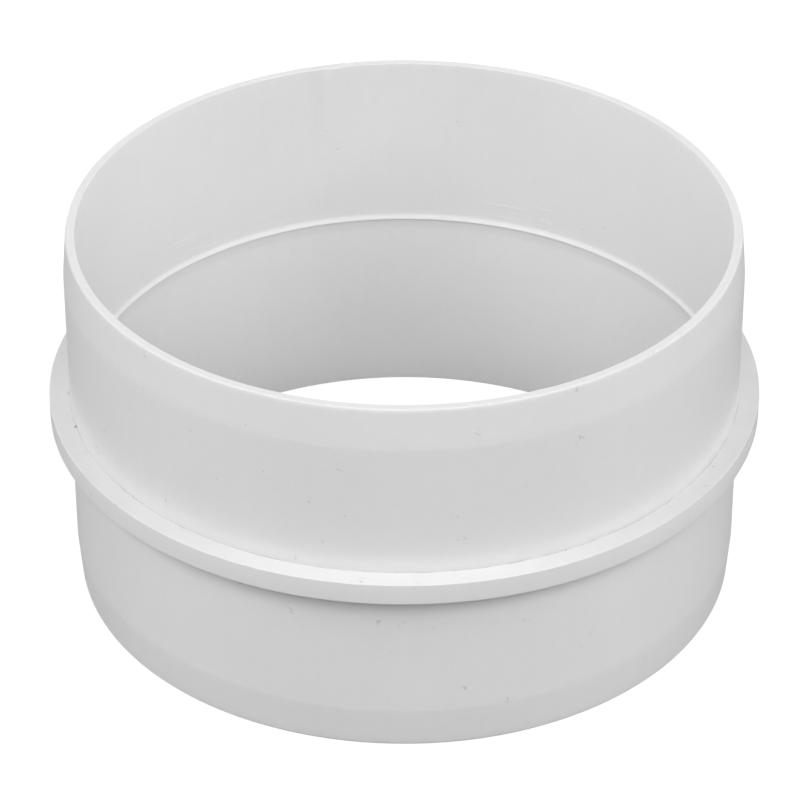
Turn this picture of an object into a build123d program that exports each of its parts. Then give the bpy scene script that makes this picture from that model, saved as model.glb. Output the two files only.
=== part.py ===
"""A rigid plastic coupling for round duct: two plain spigots, end to end, with a stop collar round their joint.

A duct pushes over each spigot until its end meets the collar. The ring stands on its lower rim,
with the origin on the axis in the plane of that rim, and +Z up. Millimetres.
"""

from build123d import *

import os

# Outside of both sleeves
sleeve_diameter = 100.0
overall_length = 57.8
lead_in_length = 6.4
lead_in_depth = 0.5
upper_rim_rounding = 0.3
lower_rim_rounding = 0.5
rim_inner_break = 0.12

# Inside of the sleeves: each bore narrows from its upper end to its lower end, the lower one more
bore_top_diameter = 96.2
bore_above_lip_diameter = 96.1
bore_below_lip_diameter = 96.0
bore_bottom_diameter = 93.8

# The plane where the two sleeves meet, and the low lip just above it
joint_height = 29.55
lip_depth = 0.35
lip_land = 0.35
lip_cove = 0.5

# Stop collar, and the shallow rib inside it that sits between the bevelled ends of the sleeves
collar_diameter = 106.1
collar_bottom_height = 27.65
collar_thickness = 3.25
collar_edge_rounding = 0.12
rib_depth = 0.8

sleeve_radius = sleeve_diameter / 2
rim_radius = sleeve_radius - lead_in_depth
rib_radius = sleeve_radius - rib_depth
collar_top_height = collar_bottom_height + collar_thickness
selection_tolerance = 0.01


def circles(part, radius, height=None):
    """The circular edges of one radius, at one height or at every height."""
    found = part.edges().filter_by(GeomType.CIRCLE)
    found = found.filter_by(lambda edge: abs(edge.radius - radius) < selection_tolerance)
    if height is None:
        return found
    return found.filter_by(lambda edge: abs(edge.arc_center.Z - height) < selection_tolerance)


# Upper sleeve: the spigot above the collar, with the lip round the inside of its lower end
bore_top_radius = bore_top_diameter / 2
bore_above_lip_radius = bore_above_lip_diameter / 2
lip_radius = bore_above_lip_radius - lip_depth
lip_top_height = joint_height + lip_land
lip_root_height = lip_top_height + lip_cove

with BuildPart() as upper_sleeve:
    with BuildSketch(Plane.XZ):
        with BuildLine():
            Polyline(
                (lip_radius, lip_top_height),
                (lip_radius, joint_height),
                (rib_radius, joint_height),
                (sleeve_radius, collar_top_height),
                (sleeve_radius, overall_length - lead_in_length),
                (rim_radius, overall_length),
                (bore_top_radius, overall_length),
                (bore_above_lip_radius, lip_root_height),
            )
            TangentArc(
                (bore_above_lip_radius, lip_root_height),
                (lip_radius, lip_top_height),
                tangent=(0, -1),
            )
        make_face()
    revolve(axis=Axis.Z)
    fillet(circles(upper_sleeve, rim_radius, overall_length), upper_rim_rounding)
    fillet(circles(upper_sleeve, bore_top_radius, overall_length), rim_inner_break)

# Lower sleeve: the spigot below the collar, whose bore narrows towards the lower rim
bore_below_lip_radius = bore_below_lip_diameter / 2
bore_bottom_radius = bore_bottom_diameter / 2

with BuildPart() as lower_sleeve:
    with BuildSketch(Plane.XZ):
        with BuildLine():
            Polyline(
                (bore_bottom_radius, 0),
                (rim_radius, 0),
                (sleeve_radius, lead_in_length),
                (sleeve_radius, collar_bottom_height),
                (rib_radius, joint_height),
                (bore_below_lip_radius, joint_height),
                close=True,
            )
        make_face()
    revolve(axis=Axis.Z)
    fillet(circles(lower_sleeve, rim_radius, 0), lower_rim_rounding)
    fillet(circles(lower_sleeve, bore_bottom_radius, 0), rim_inner_break)

# Stop collar: a flat-faced ring whose inner rib comes to an edge at the joint between the sleeves
collar_radius = collar_diameter / 2

with BuildPart() as stop_collar:
    with BuildSketch(Plane.XZ):
        with BuildLine():
            Polyline(
                (sleeve_radius, collar_bottom_height),
                (collar_radius, collar_bottom_height),
                (collar_radius, collar_top_height),
                (sleeve_radius, collar_top_height),
                (rib_radius, joint_height),
                close=True,
            )
        make_face()
    revolve(axis=Axis.Z)
    fillet(circles(stop_collar, collar_radius), collar_edge_rounding)

pieces = {
    "upper_sleeve": upper_sleeve,
    "lower_sleeve": lower_sleeve,
    "stop_collar": stop_collar,
}

os.makedirs("parts", exist_ok=True)
for name, piece in pieces.items():
    piece.part.label = name
    export_step(piece.part, f"parts/{name}.step")
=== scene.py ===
"""Looks of the push fit coupling: one white moulded plastic in three pieces, on a pale studio floor.

Metres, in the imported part's frame: the ring stands on z = 0 with its axis on Z, and the camera is on -Y.
"""

import math

import bmesh
import bpy
from mathutils import Matrix, Vector, noise


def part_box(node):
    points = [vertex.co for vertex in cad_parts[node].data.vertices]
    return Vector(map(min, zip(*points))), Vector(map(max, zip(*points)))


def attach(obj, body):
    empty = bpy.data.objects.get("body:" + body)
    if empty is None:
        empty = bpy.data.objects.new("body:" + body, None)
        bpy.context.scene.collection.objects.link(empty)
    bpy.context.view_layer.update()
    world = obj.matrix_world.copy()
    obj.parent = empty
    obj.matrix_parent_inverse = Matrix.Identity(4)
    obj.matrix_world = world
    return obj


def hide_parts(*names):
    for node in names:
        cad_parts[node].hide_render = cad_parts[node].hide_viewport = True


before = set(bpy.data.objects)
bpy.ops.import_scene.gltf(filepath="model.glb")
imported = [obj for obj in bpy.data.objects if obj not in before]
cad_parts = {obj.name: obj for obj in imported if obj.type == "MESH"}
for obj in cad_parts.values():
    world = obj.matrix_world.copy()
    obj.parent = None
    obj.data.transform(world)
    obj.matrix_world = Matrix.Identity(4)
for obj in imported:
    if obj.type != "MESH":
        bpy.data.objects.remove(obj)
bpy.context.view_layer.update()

MM = 0.001

# Sizes read from the frame
SLEEVE_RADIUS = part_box("upper_sleeve")[1].x
SLEEVE_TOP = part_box("upper_sleeve")[1].z
JOINT_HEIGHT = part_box("lower_sleeve")[1].z
COLLAR_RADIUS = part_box("stop_collar")[1].x
COLLAR_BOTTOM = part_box("stop_collar")[0].z
COLLAR_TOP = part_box("stop_collar")[1].z

# Shape of the walls: as in the CAD part, apart from the rim roll and the undercut below the lip
LEAD_IN_LENGTH = 6.4 * MM
LEAD_IN_DEPTH = 0.5 * MM
RIM_ROLL_LENGTH = 0.6 * MM
RIM_ROLL_DEPTH = 0.12 * MM
RIB_DEPTH = 0.8 * MM
BORE_TOP_RADIUS = 48.1 * MM
BORE_ABOVE_LIP_RADIUS = 48.05 * MM
BORE_BELOW_LIP_RADIUS = 48.0 * MM
BORE_BOTTOM_RADIUS = 46.9 * MM
LIP_DEPTH = 0.35 * MM
LIP_LAND = 0.35 * MM
LIP_COVE_HEIGHT = 1.0 * MM
UNDERCUT_LENGTH = 1.6 * MM

# Roundings of the outline's corners
LEAD_IN_ROUNDING = 9 * MM
RIM_ROLL_ROUNDING = 2 * MM
UPPER_EDGE_ROUNDING = 0.25 * MM
LOWER_EDGE_ROUNDING = 0.5 * MM
INNER_EDGE_ROUNDING = 0.12 * MM
LIP_COVE_ROUNDING = 1.3 * MM
LIP_CREST_ROUNDING = 0.3 * MM
LIP_EDGE_ROUNDING = 0.2 * MM
UNDERCUT_ROUNDING = 4 * MM
COLLAR_EDGE_ROUNDING = 0.1 * MM

LEAD_IN_RADIUS = SLEEVE_RADIUS - LEAD_IN_DEPTH
RIM_RADIUS = LEAD_IN_RADIUS - RIM_ROLL_DEPTH
RIB_RADIUS = SLEEVE_RADIUS - RIB_DEPTH
LIP_RADIUS = BORE_ABOVE_LIP_RADIUS - LIP_DEPTH

# Mesh fineness
SEGMENTS = 480
LONGEST_STEP = 1.6 * MM
ARC_STEP = math.radians(12)
SMOOTH_LIMIT = math.radians(32)

# The moulding isn't perfectly round or even: the walls wander inwards by at most this much
WANDER = 0.05 * MM
WANDER_SIZE = 22 * MM

# A nick in the back of the upper rim: its azimuth in degrees, and its move outwards and upwards
NICK_AZIMUTH = 103
NICK_REACH = 1.6 * MM
NICK_PUSH = (0.1 * MM, -0.22 * MM)


def arc_corner(before, corner, after, rounding):
    """The points of a rounded corner of an outline, as (radius, height)."""
    if rounding == 0:
        return [corner.copy()]
    back = (before - corner).normalized()
    on = (after - corner).normalized()
    half = back.angle(on) / 2
    middle = corner + (back + on).normalized() * rounding / math.sin(half)
    start = corner + back * rounding / math.tan(half) - middle
    end = corner + on * rounding / math.tan(half) - middle
    turn = start.angle(end)
    steps = max(3, math.ceil(turn / ARC_STEP))
    points = []
    for i in range(steps + 1):
        share = i / steps
        arm = (start * math.sin((1 - share) * turn) + end * math.sin(share * turn)) / math.sin(turn)
        points.append(middle + arm)
    return points


def outline(corners):
    """A closed outline from corners (radius, height, rounding), with its long runs divided."""
    places = [Vector((radius, height)) for radius, height, _ in corners]
    count = len(corners)
    rounded = []
    for i, (_, _, rounding) in enumerate(corners):
        rounded += arc_corner(places[i - 1], places[i], places[(i + 1) % count], rounding)
    points = []
    for i, point in enumerate(rounded):
        after = rounded[(i + 1) % len(rounded)]
        pieces = max(1, math.ceil((after - point).length / LONGEST_STEP))
        points += [point.lerp(after, k / pieces) for k in range(pieces)]
    return points


def wander(angle, height):
    """How far the moulding lies inside its true radius at one place."""
    around = Vector((math.cos(angle), math.sin(angle), 0)) * SLEEVE_RADIUS / WANDER_SIZE
    wave = noise.noise(around + Vector((0, 0, height / WANDER_SIZE)))
    return WANDER * (0.5 + 0.5 * max(-1, min(1, wave)))


def turned(name, corners, dents=()):
    """A closed ring mesh: the outline turned round Z, in the moulding's slightly uneven shape."""
    mesh = bmesh.new()
    points = outline(corners)
    rings = []
    for k in range(SEGMENTS):
        angle = 2 * math.pi * k / SEGMENTS
        ring = []
        for point in points:
            radius = point.x - wander(angle, point.y)
            place = Vector((radius * math.cos(angle), radius * math.sin(angle), point.y))
            for push in dents:
                place += push(place)
            ring.append(mesh.verts.new(place))
        rings.append(ring)
    for k, ring in enumerate(rings):
        beside = rings[(k + 1) % SEGMENTS]
        for i in range(len(points)):
            j = (i + 1) % len(points)
            mesh.faces.new((ring[i], ring[j], beside[j], beside[i]))
    bmesh.ops.recalc_face_normals(mesh, faces=mesh.faces)
    data = bpy.data.meshes.new(name)
    mesh.to_mesh(data)
    mesh.free()
    data.shade_smooth()
    data.set_sharp_from_angle(angle=SMOOTH_LIMIT)
    piece = bpy.data.objects.new(name, data)
    bpy.context.scene.collection.objects.link(piece)
    return piece


def dent(azimuth, radius, height, reach, push):
    """A small dent in an edge: points within reach of it move by up to push, along the radius and Z."""
    angle = math.radians(azimuth)
    outward = Vector((math.cos(angle), math.sin(angle), 0))
    middle = outward * radius + Vector((0, 0, height))
    move = outward * push[0] + Vector((0, 0, push[1]))

    def moved(place):
        share = (place - middle).length / reach
        return move * (1 - share * share) ** 2 if share < 1 else Vector()

    return moved


# ---------------------------------------------------------------- pieces

upper_spigot = turned(
    "upper_spigot",
    [
        (BORE_TOP_RADIUS, SLEEVE_TOP, INNER_EDGE_ROUNDING),
        (BORE_ABOVE_LIP_RADIUS, JOINT_HEIGHT + LIP_COVE_HEIGHT, LIP_COVE_ROUNDING),
        (LIP_RADIUS, JOINT_HEIGHT + LIP_LAND, LIP_CREST_ROUNDING),
        (LIP_RADIUS, JOINT_HEIGHT, LIP_EDGE_ROUNDING),
        (RIB_RADIUS, JOINT_HEIGHT, 0),
        (SLEEVE_RADIUS, COLLAR_TOP, 0),
        (SLEEVE_RADIUS, SLEEVE_TOP - LEAD_IN_LENGTH, LEAD_IN_ROUNDING),
        (LEAD_IN_RADIUS, SLEEVE_TOP - RIM_ROLL_LENGTH, RIM_ROLL_ROUNDING),
        (RIM_RADIUS, SLEEVE_TOP, UPPER_EDGE_ROUNDING),
    ],
    dents=[dent(NICK_AZIMUTH, BORE_TOP_RADIUS, SLEEVE_TOP, NICK_REACH, NICK_PUSH)],
)

lower_spigot = turned(
    "lower_spigot",
    [
        (LIP_RADIUS + LIP_EDGE_ROUNDING, JOINT_HEIGHT, 0),
        (BORE_BELOW_LIP_RADIUS, JOINT_HEIGHT - UNDERCUT_LENGTH, UNDERCUT_ROUNDING),
        (BORE_BOTTOM_RADIUS, 0, INNER_EDGE_ROUNDING),
        (LEAD_IN_RADIUS, 0, LOWER_EDGE_ROUNDING),
        (SLEEVE_RADIUS, LEAD_IN_LENGTH, LEAD_IN_ROUNDING),
        (SLEEVE_RADIUS, COLLAR_BOTTOM, 0),
        (RIB_RADIUS, JOINT_HEIGHT, 0),
    ],
)

collar_ring = turned(
    "collar_ring",
    [
        (RIB_RADIUS, JOINT_HEIGHT, 0),
        (SLEEVE_RADIUS, COLLAR_BOTTOM, 0),
        (COLLAR_RADIUS, COLLAR_BOTTOM, COLLAR_EDGE_ROUNDING),
        (COLLAR_RADIUS, COLLAR_TOP, COLLAR_EDGE_ROUNDING),
        (SLEEVE_RADIUS, COLLAR_TOP, 0),
    ],
)

STANDS_FOR = {
    upper_spigot: "upper_sleeve",
    lower_spigot: "lower_sleeve",
    collar_ring: "stop_collar",
}
for piece, cad_node in STANDS_FOR.items():
    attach(piece, "root")
    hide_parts(cad_node)


# ---------------------------------------------------------------- material

BASE_VALUE = 0.84
ROUGHNESS = 0.42
PLASTIC_IOR = 1.5
BAND_AZIMUTH = 106.3
BAND_HALF_WIDTH = 1.4 * MM


def add_node(tree, kind, inputs=(), **settings):
    """One node in a tree. An input is a number, a tuple or another node's socket."""
    node = tree.nodes.new(kind)
    for name, value in settings.items():
        setattr(node, name, value)
    for socket, value in dict(inputs).items():
        if isinstance(value, bpy.types.NodeSocket):
            tree.links.new(value, node.inputs[socket])
        else:
            node.inputs[socket].default_value = value
    return node


class Surface:
    """The node tree of the plastic. Its methods add nodes and return the socket that holds the result."""

    def __init__(self, name):
        self.material = bpy.data.materials.new(name)
        self.material.use_nodes = True
        self.tree = self.material.node_tree
        self.shader = self.tree.nodes["Principled BSDF"]
        self.place = self.add("ShaderNodeTexCoord").outputs["Object"]
        self.height = self.add("ShaderNodeSeparateXYZ", {0: self.place}).outputs["Z"]
        inputs = {0: self.place, 1: (1, 1, 0)}
        flat = self.add("ShaderNodeVectorMath", inputs, operation="MULTIPLY").outputs[0]
        self.radius = self.add("ShaderNodeVectorMath", {0: flat}, operation="LENGTH").outputs["Value"]
        self.direction = self.add("ShaderNodeVectorMath", {0: flat}, operation="NORMALIZE").outputs[0]

    def add(self, kind, inputs=(), **settings):
        return add_node(self.tree, kind, inputs, **settings)

    def maths(self, operation, first, second=0.0, third=0.0):
        return self.add("ShaderNodeMath", {0: first, 1: second, 2: third}, operation=operation).outputs[0]

    def times(self, *values):
        result = values[0]
        for value in values[1:]:
            result = self.maths("MULTIPLY", result, value)
        return result

    def total(self, *values):
        result = values[0]
        for value in values[1:]:
            result = self.maths("ADD", result, value)
        return result

    def ramp(self, value, zero, one):
        """0 where value is at zero or beyond, 1 where it is at one or beyond, smooth between."""
        inputs = {"Value": value, "From Min": zero, "From Max": one}
        return self.add("ShaderNodeMapRange", inputs, interpolation_type="SMOOTHSTEP").outputs[0]

    def window(self, value, low, high, soft):
        """1 from low to high, and 0 beyond soft outside them."""
        return self.times(self.ramp(value, low - soft, low), self.ramp(value, high + soft, high))

    def noise(self, across, up=None, detail=2, seed=0, place=None):
        """Noise from -0.5 to 0.5, with features about across wide and up high, in metres."""
        scale = (1 / across, 1 / across, 1 / (up or across))
        shift = (seed * 13.7, seed * 7.1, seed * 3.3)
        inputs = {0: place or self.place, 1: scale, 2: shift}
        vector = self.add("ShaderNodeVectorMath", inputs, operation="MULTIPLY_ADD").outputs[0]
        inputs = {"Vector": vector, "Scale": 1, "Detail": detail}
        return self.maths("SUBTRACT", self.add("ShaderNodeTexNoise", inputs).outputs[0], 0.5)

    def specks(self, spacing, reach, seed):
        """1 inside small ragged specks, up to reach in radius, that lie scattered through the plastic."""
        shift = (seed * 5.3, seed * 2.9, seed * 11.1)
        inputs = {"Vector": self.place, "Scale": 1 / reach, "Detail": 1}
        ragged = self.add("ShaderNodeTexNoise", inputs).outputs["Color"]
        inputs = {0: ragged, 1: (1.6 * reach,) * 3, 2: self.place}
        place = self.add("ShaderNodeVectorMath", inputs, operation="MULTIPLY_ADD").outputs[0]
        place = self.add("ShaderNodeVectorMath", {0: place, 1: shift}, operation="ADD").outputs[0]
        cells = self.add("ShaderNodeTexVoronoi", {"Vector": place, "Scale": 1 / spacing}).outputs["Distance"]
        return self.ramp(cells, reach / spacing, 0.5 * reach / spacing)

    def circle(self, radius, height, reach):
        """1 on a circle round the axis, fading to 0 at reach from it."""
        across = self.maths("SUBTRACT", self.radius, radius)
        up = self.maths("SUBTRACT", self.height, height)
        squares = self.total(self.times(across, across), self.times(up, up))
        return self.ramp(self.maths("SQRT", squares), reach, 0.35 * reach)


# The radii between which the masks of the inner wall above the lip go from 0 to 1
INNER_SIDE = (49.2 * MM, 48.8 * MM)


def moulded_grain(surface):
    """Faint unevenness of moulded plastic: its colour, and its height in metres."""
    cloudy = surface.noise(16 * MM, detail=2)
    mottle = surface.noise(1.4 * MM, detail=2, seed=1)
    streaks = surface.noise(1.1 * MM, 30 * MM, detail=1, seed=2)
    tint = surface.total(
        surface.times(cloudy, 0.04),
        surface.times(mottle, 0.03),
        surface.times(streaks, 0.015),
    )
    pits = surface.times(surface.noise(0.45 * MM, detail=1, seed=3), 0.012 * MM)
    ripple = surface.times(surface.noise(3.5 * MM, 9 * MM, detail=1, seed=4), 0.02 * MM)
    return tint, surface.total(pits, ripple)


def corner_dirt(surface):
    """Dirt where the collar's top meets the wall: a thin broken line with a few larger flecks."""
    line = surface.circle(SLEEVE_RADIUS, COLLAR_TOP, 0.16 * MM)
    broken = surface.ramp(surface.noise(3 * MM, detail=2, seed=5), -0.08, 0.12)
    near = surface.circle(SLEEVE_RADIUS, COLLAR_TOP, 0.5 * MM)
    flecks = surface.times(near, surface.specks(3.2 * MM, 0.42 * MM, 2))
    thin = surface.times(line, surface.total(surface.times(broken, 0.1), 0.08))
    return surface.maths("MAXIMUM", thin, surface.times(flecks, 0.5))


def lip_scratches(surface):
    """Short level scratches on the inner wall, just above the lip."""
    inner = surface.ramp(surface.radius, *INNER_SIDE)
    zone = surface.window(surface.height, JOINT_HEIGHT + 2.2 * MM, JOINT_HEIGHT + 5.4 * MM, 0.6 * MM)
    patches = surface.ramp(surface.noise(11 * MM, detail=0, seed=6), 0.04, 0.12)
    lines = surface.ramp(surface.noise(12 * MM, 0.3 * MM, detail=1, seed=7), 0.1, 0.2)
    return surface.times(inner, zone, patches, lines)


def radial_marks(surface):
    """Thin faint marks across the collar's top face."""
    top = surface.times(
        surface.ramp(surface.height, COLLAR_TOP - 0.1 * MM, COLLAR_TOP - 0.03 * MM),
        surface.ramp(surface.radius, SLEEVE_RADIUS + 0.2 * MM, SLEEVE_RADIUS + 0.6 * MM),
        surface.window(surface.height, 0, COLLAR_TOP + 0.02 * MM, 0.1 * MM),
    )
    turning = surface.noise(0.35 * MM / SLEEVE_RADIUS, detail=0, seed=8, place=surface.direction)
    return surface.times(top, surface.ramp(turning, 0.27, 0.33))


def weld_band(surface, azimuth, half_width):
    """A soft upright band on the inner wall above the lip, where the melt met."""
    angle = math.radians(azimuth)
    toward = (math.cos(angle), math.sin(angle), 0)
    inputs = {0: surface.direction, 1: toward}
    facing = surface.add("ShaderNodeVectorMath", inputs, operation="DOT_PRODUCT").outputs["Value"]
    edge = math.cos(half_width / BORE_TOP_RADIUS)
    inner = surface.ramp(surface.radius, *INNER_SIDE)
    upper = surface.ramp(surface.height, JOINT_HEIGHT + 8 * MM, SLEEVE_TOP)
    return surface.times(surface.ramp(facing, edge, 1), inner, upper)


def painted_shade(surface):
    """Painted shade: the collar's top face, the corner above it and the wall under the lip are made darker,
    standing in for the shade and the lip's soft shadow that fall there.
    """
    top = surface.window(surface.height, COLLAR_TOP - 0.05 * MM, COLLAR_TOP + 0.05 * MM, 0.15 * MM)
    outside = surface.ramp(surface.radius, SLEEVE_RADIUS, SLEEVE_RADIUS + 0.15 * MM)
    corner = surface.ramp(surface.height, COLLAR_TOP + 2.6 * MM, COLLAR_TOP)
    upper = surface.ramp(surface.height, COLLAR_TOP - 0.05 * MM, COLLAR_TOP)
    outer = surface.ramp(surface.radius, SLEEVE_RADIUS - 0.8 * MM, SLEEVE_RADIUS - 0.6 * MM)
    inner = surface.ramp(surface.radius, SLEEVE_RADIUS - 1 * MM, SLEEVE_RADIUS - 1.2 * MM)
    under = surface.ramp(surface.height, JOINT_HEIGHT - 2.2 * MM, JOINT_HEIGHT)
    below = surface.ramp(surface.height, JOINT_HEIGHT + 0.05 * MM, JOINT_HEIGHT)
    uneven = surface.total(surface.times(surface.noise(5 * MM, detail=2, seed=12), 0.5), 1.0)
    return surface.times(
        uneven,
        surface.total(
            surface.times(top, outside, 0.09),
            surface.times(corner, upper, outer, surface.maths("SUBTRACT", 1.0, outside), 0.025),
            surface.times(under, below, inner, 0.02),
        ),
    )


def edge_wear(surface):
    """Light scuffing along the edges that touch a hand or a duct first."""
    edges = [
        (COLLAR_RADIUS, COLLAR_TOP, 0.3 * MM),
        (COLLAR_RADIUS, COLLAR_BOTTOM, 0.25 * MM),
        (RIM_RADIUS, SLEEVE_TOP, 0.4 * MM),
        (BORE_TOP_RADIUS, SLEEVE_TOP, 0.3 * MM),
    ]
    worn = surface.circle(*edges[0])
    for edge in edges[1:]:
        worn = surface.maths("MAXIMUM", worn, surface.circle(*edge))
    return surface.times(worn, surface.ramp(surface.noise(2.4 * MM, detail=3, seed=9), -0.15, 0.25))


def white_plastic():
    """The one material of all three pieces."""
    surface = Surface("white_plastic")
    tint, relief = moulded_grain(surface)
    dirt = corner_dirt(surface)
    scratches = lip_scratches(surface)
    marks = radial_marks(surface)
    worn = edge_wear(surface)
    crowded = surface.ramp(surface.noise(28 * MM, detail=1, seed=10), -0.12, 0.1)
    dark_specks = surface.times(surface.specks(3.4 * MM, 0.17 * MM, 1), crowded)
    pale_specks = surface.specks(6.5 * MM, 0.16 * MM, 3)
    ragged = surface.ramp(surface.noise(0.5 * MM, detail=2, seed=13), 0.03, 0.13)
    outside = surface.ramp(surface.radius, SLEEVE_RADIUS - 1 * MM, SLEEVE_RADIUS - 0.8 * MM)
    scuffs = surface.times(surface.specks(5 * MM, 0.9 * MM, 4), ragged, outside, crowded)
    band = weld_band(surface, BAND_AZIMUTH, BAND_HALF_WIDTH)

    lift = surface.total(
        tint,
        surface.times(scratches, 0.07),
        surface.times(pale_specks, 0.12),
        surface.times(worn, 0.02),
        surface.times(band, -0.03),
        1.0,
    )
    # Painted shade and shadow: darkens the collar's top, the corner above it and the wall just under the lip
    painted_darkening = painted_shade(surface)
    dark = surface.total(
        surface.times(dark_specks, 0.22),
        surface.times(scuffs, 0.22),
        dirt,
        surface.times(marks, 0.035),
        painted_darkening,
    )
    shade = surface.times(lift, surface.maths("SUBTRACT", 1.0, dark), BASE_VALUE)
    surface.tree.links.new(shade, surface.shader.inputs["Base Color"])

    patchy = surface.noise(9 * MM, 14 * MM, detail=3, seed=11)
    roughness = surface.total(
        surface.times(patchy, 0.16),
        surface.times(worn, 0.06),
        surface.times(dirt, 0.3),
        ROUGHNESS,
    )
    surface.tree.links.new(roughness, surface.shader.inputs["Roughness"])
    surface.shader.inputs["IOR"].default_value = PLASTIC_IOR

    height = surface.total(relief, surface.times(scratches, 0.02 * MM))
    bump = surface.add("ShaderNodeBump", {"Height": height, "Distance": 1, "Strength": 1}).outputs[0]
    surface.tree.links.new(bump, surface.shader.inputs["Normal"])
    return surface.material


plastic = white_plastic()
for piece in STANDS_FOR:
    piece.data.materials.append(plastic)


# ---------------------------------------------------------------- floor, light and camera

FLOOR_SIZE = 8.0
FLOOR_ALBEDO = 0.25

# A hair below the object, so that the lower rim and the floor don't share a plane
FLOOR_GAP = 0.02 * MM

# The floor's glow near the object, the backdrop's glow, and the distances between which one becomes the other
FLOOR_GLOW = 0.86
BACKDROP_GLOW = 1.0
FLOOR_NEAR = 0.4
FLOOR_FAR = 1.2


def floor_material():
    """Matt paper that also glows for the camera alone, more so far away, so that no horizon shows."""
    material = bpy.data.materials.new("pale_floor")
    material.use_nodes = True
    tree = material.node_tree
    tree.nodes.clear()
    place = add_node(tree, "ShaderNodeTexCoord").outputs["Object"]
    away = add_node(tree, "ShaderNodeVectorMath", {0: place}, operation="LENGTH").outputs["Value"]
    inputs = {
        "Value": away,
        "From Min": FLOOR_NEAR,
        "From Max": FLOOR_FAR,
        "To Min": FLOOR_GLOW,
        "To Max": BACKDROP_GLOW,
    }
    fade = add_node(tree, "ShaderNodeMapRange", inputs, interpolation_type="SMOOTHSTEP").outputs[0]
    seen = add_node(tree, "ShaderNodeLightPath").outputs["Is Camera Ray"]
    strength = add_node(tree, "ShaderNodeMath", {0: seen, 1: fade}, operation="MULTIPLY").outputs[0]
    glow = add_node(tree, "ShaderNodeEmission", {"Strength": strength}).outputs[0]
    grey = (FLOOR_ALBEDO, FLOOR_ALBEDO, FLOOR_ALBEDO, 1)
    paper = add_node(tree, "ShaderNodeBsdfDiffuse", {"Color": grey}).outputs[0]
    both = add_node(tree, "ShaderNodeAddShader", {0: paper, 1: glow}).outputs[0]
    add_node(tree, "ShaderNodeOutputMaterial", {"Surface": both})
    return material


def add_floor():
    mesh = bmesh.new()
    bmesh.ops.create_grid(mesh, x_segments=1, y_segments=1, size=FLOOR_SIZE / 2)
    data = bpy.data.meshes.new("studio_floor")
    mesh.to_mesh(data)
    mesh.free()
    floor = bpy.data.objects.new("studio_floor", data)
    floor.location.z = -FLOOR_GAP
    bpy.context.scene.collection.objects.link(floor)
    data.materials.append(floor_material())


def softbox(name, azimuth, elevation, power, size=0.9, distance=2.0):
    """A square light aimed at the object. Azimuth 0 is the camera's side, and 90 is +X."""
    around = math.radians(azimuth)
    up = math.radians(elevation)
    direction = Vector((math.sin(around) * math.cos(up), -math.cos(around) * math.cos(up), math.sin(up)))
    lamp = bpy.data.lights.new(name, "AREA")
    lamp.shape = "SQUARE"
    lamp.size = size
    lamp.energy = power
    light = bpy.data.objects.new(name, lamp)
    light.location = direction * distance + Vector((0, 0, JOINT_HEIGHT))
    light.rotation_euler = direction.to_track_quat("Z", "Y").to_euler()
    bpy.context.scene.collection.objects.link(light)


def add_world():
    """A backdrop that only the camera sees, and that gives no light."""
    world = bpy.data.worlds.new("studio")
    world.use_nodes = True
    tree = world.node_tree
    tree.nodes.clear()
    dark = add_node(tree, "ShaderNodeBackground", {"Strength": 0}).outputs[0]
    inputs = {"Color": (1, 1, 1, 1), "Strength": BACKDROP_GLOW}
    backdrop = add_node(tree, "ShaderNodeBackground", inputs).outputs[0]
    seen = add_node(tree, "ShaderNodeLightPath").outputs["Is Camera Ray"]
    either = add_node(tree, "ShaderNodeMixShader", {0: seen, 1: dark, 2: backdrop}).outputs[0]
    add_node(tree, "ShaderNodeOutputWorld", {"Surface": either})
    bpy.context.scene.world = world


# Name, azimuth and elevation in degrees, and power in watts
LIGHTS = [
    ("key", 0, 42, 12.3),
    ("key_right", 35, 42, 5.9),
    ("key_left", -35, 42, 3.7),
    ("wide_right", 70, 42, 6.4),
    ("wide_left", -70, 42, 12.3),
    ("low_right", 35, 28, 1.8),
    ("low_left", -35, 28, 1.7),
    ("low_wide_right", 70, 28, 8.9),
    ("low_wide_left", -70, 28, 4.3),
    ("side_right", 105, 14, 6.6),
    ("side_left", -105, 14, 7.0),
    ("rear", 180, 8, 8.8),
    ("rear_right", 145, 8, 6.2),
    ("rear_left", -145, 8, 6.2),
]

add_floor()
add_world()
for name, azimuth, elevation, power in LIGHTS:
    softbox(name, azimuth, elevation, power)

CAMERA_LENS = 177.8
CAMERA_PLACE = Vector((0, -0.49516, 0.35521))
CAMERA_PITCH = math.radians(33.566)
CAMERA_YAW = math.radians(0.075)
CAMERA_ROLL = math.radians(-0.145)


def add_camera():
    lens = bpy.data.cameras.new("camera")
    lens.lens = CAMERA_LENS
    lens.clip_start = 0.01
    lens.clip_end = 50
    camera = bpy.data.objects.new("camera", lens)
    turn = Matrix.Rotation(CAMERA_YAW, 4, "Z") @ Matrix.Rotation(math.pi / 2 - CAMERA_PITCH, 4, "X")
    camera.matrix_world = Matrix.Translation(CAMERA_PLACE) @ turn @ Matrix.Rotation(CAMERA_ROLL, 4, "Z")
    bpy.context.scene.collection.objects.link(camera)
    bpy.context.scene.camera = camera


add_camera()
bpy.context.scene.view_settings.view_transform = "Standard"
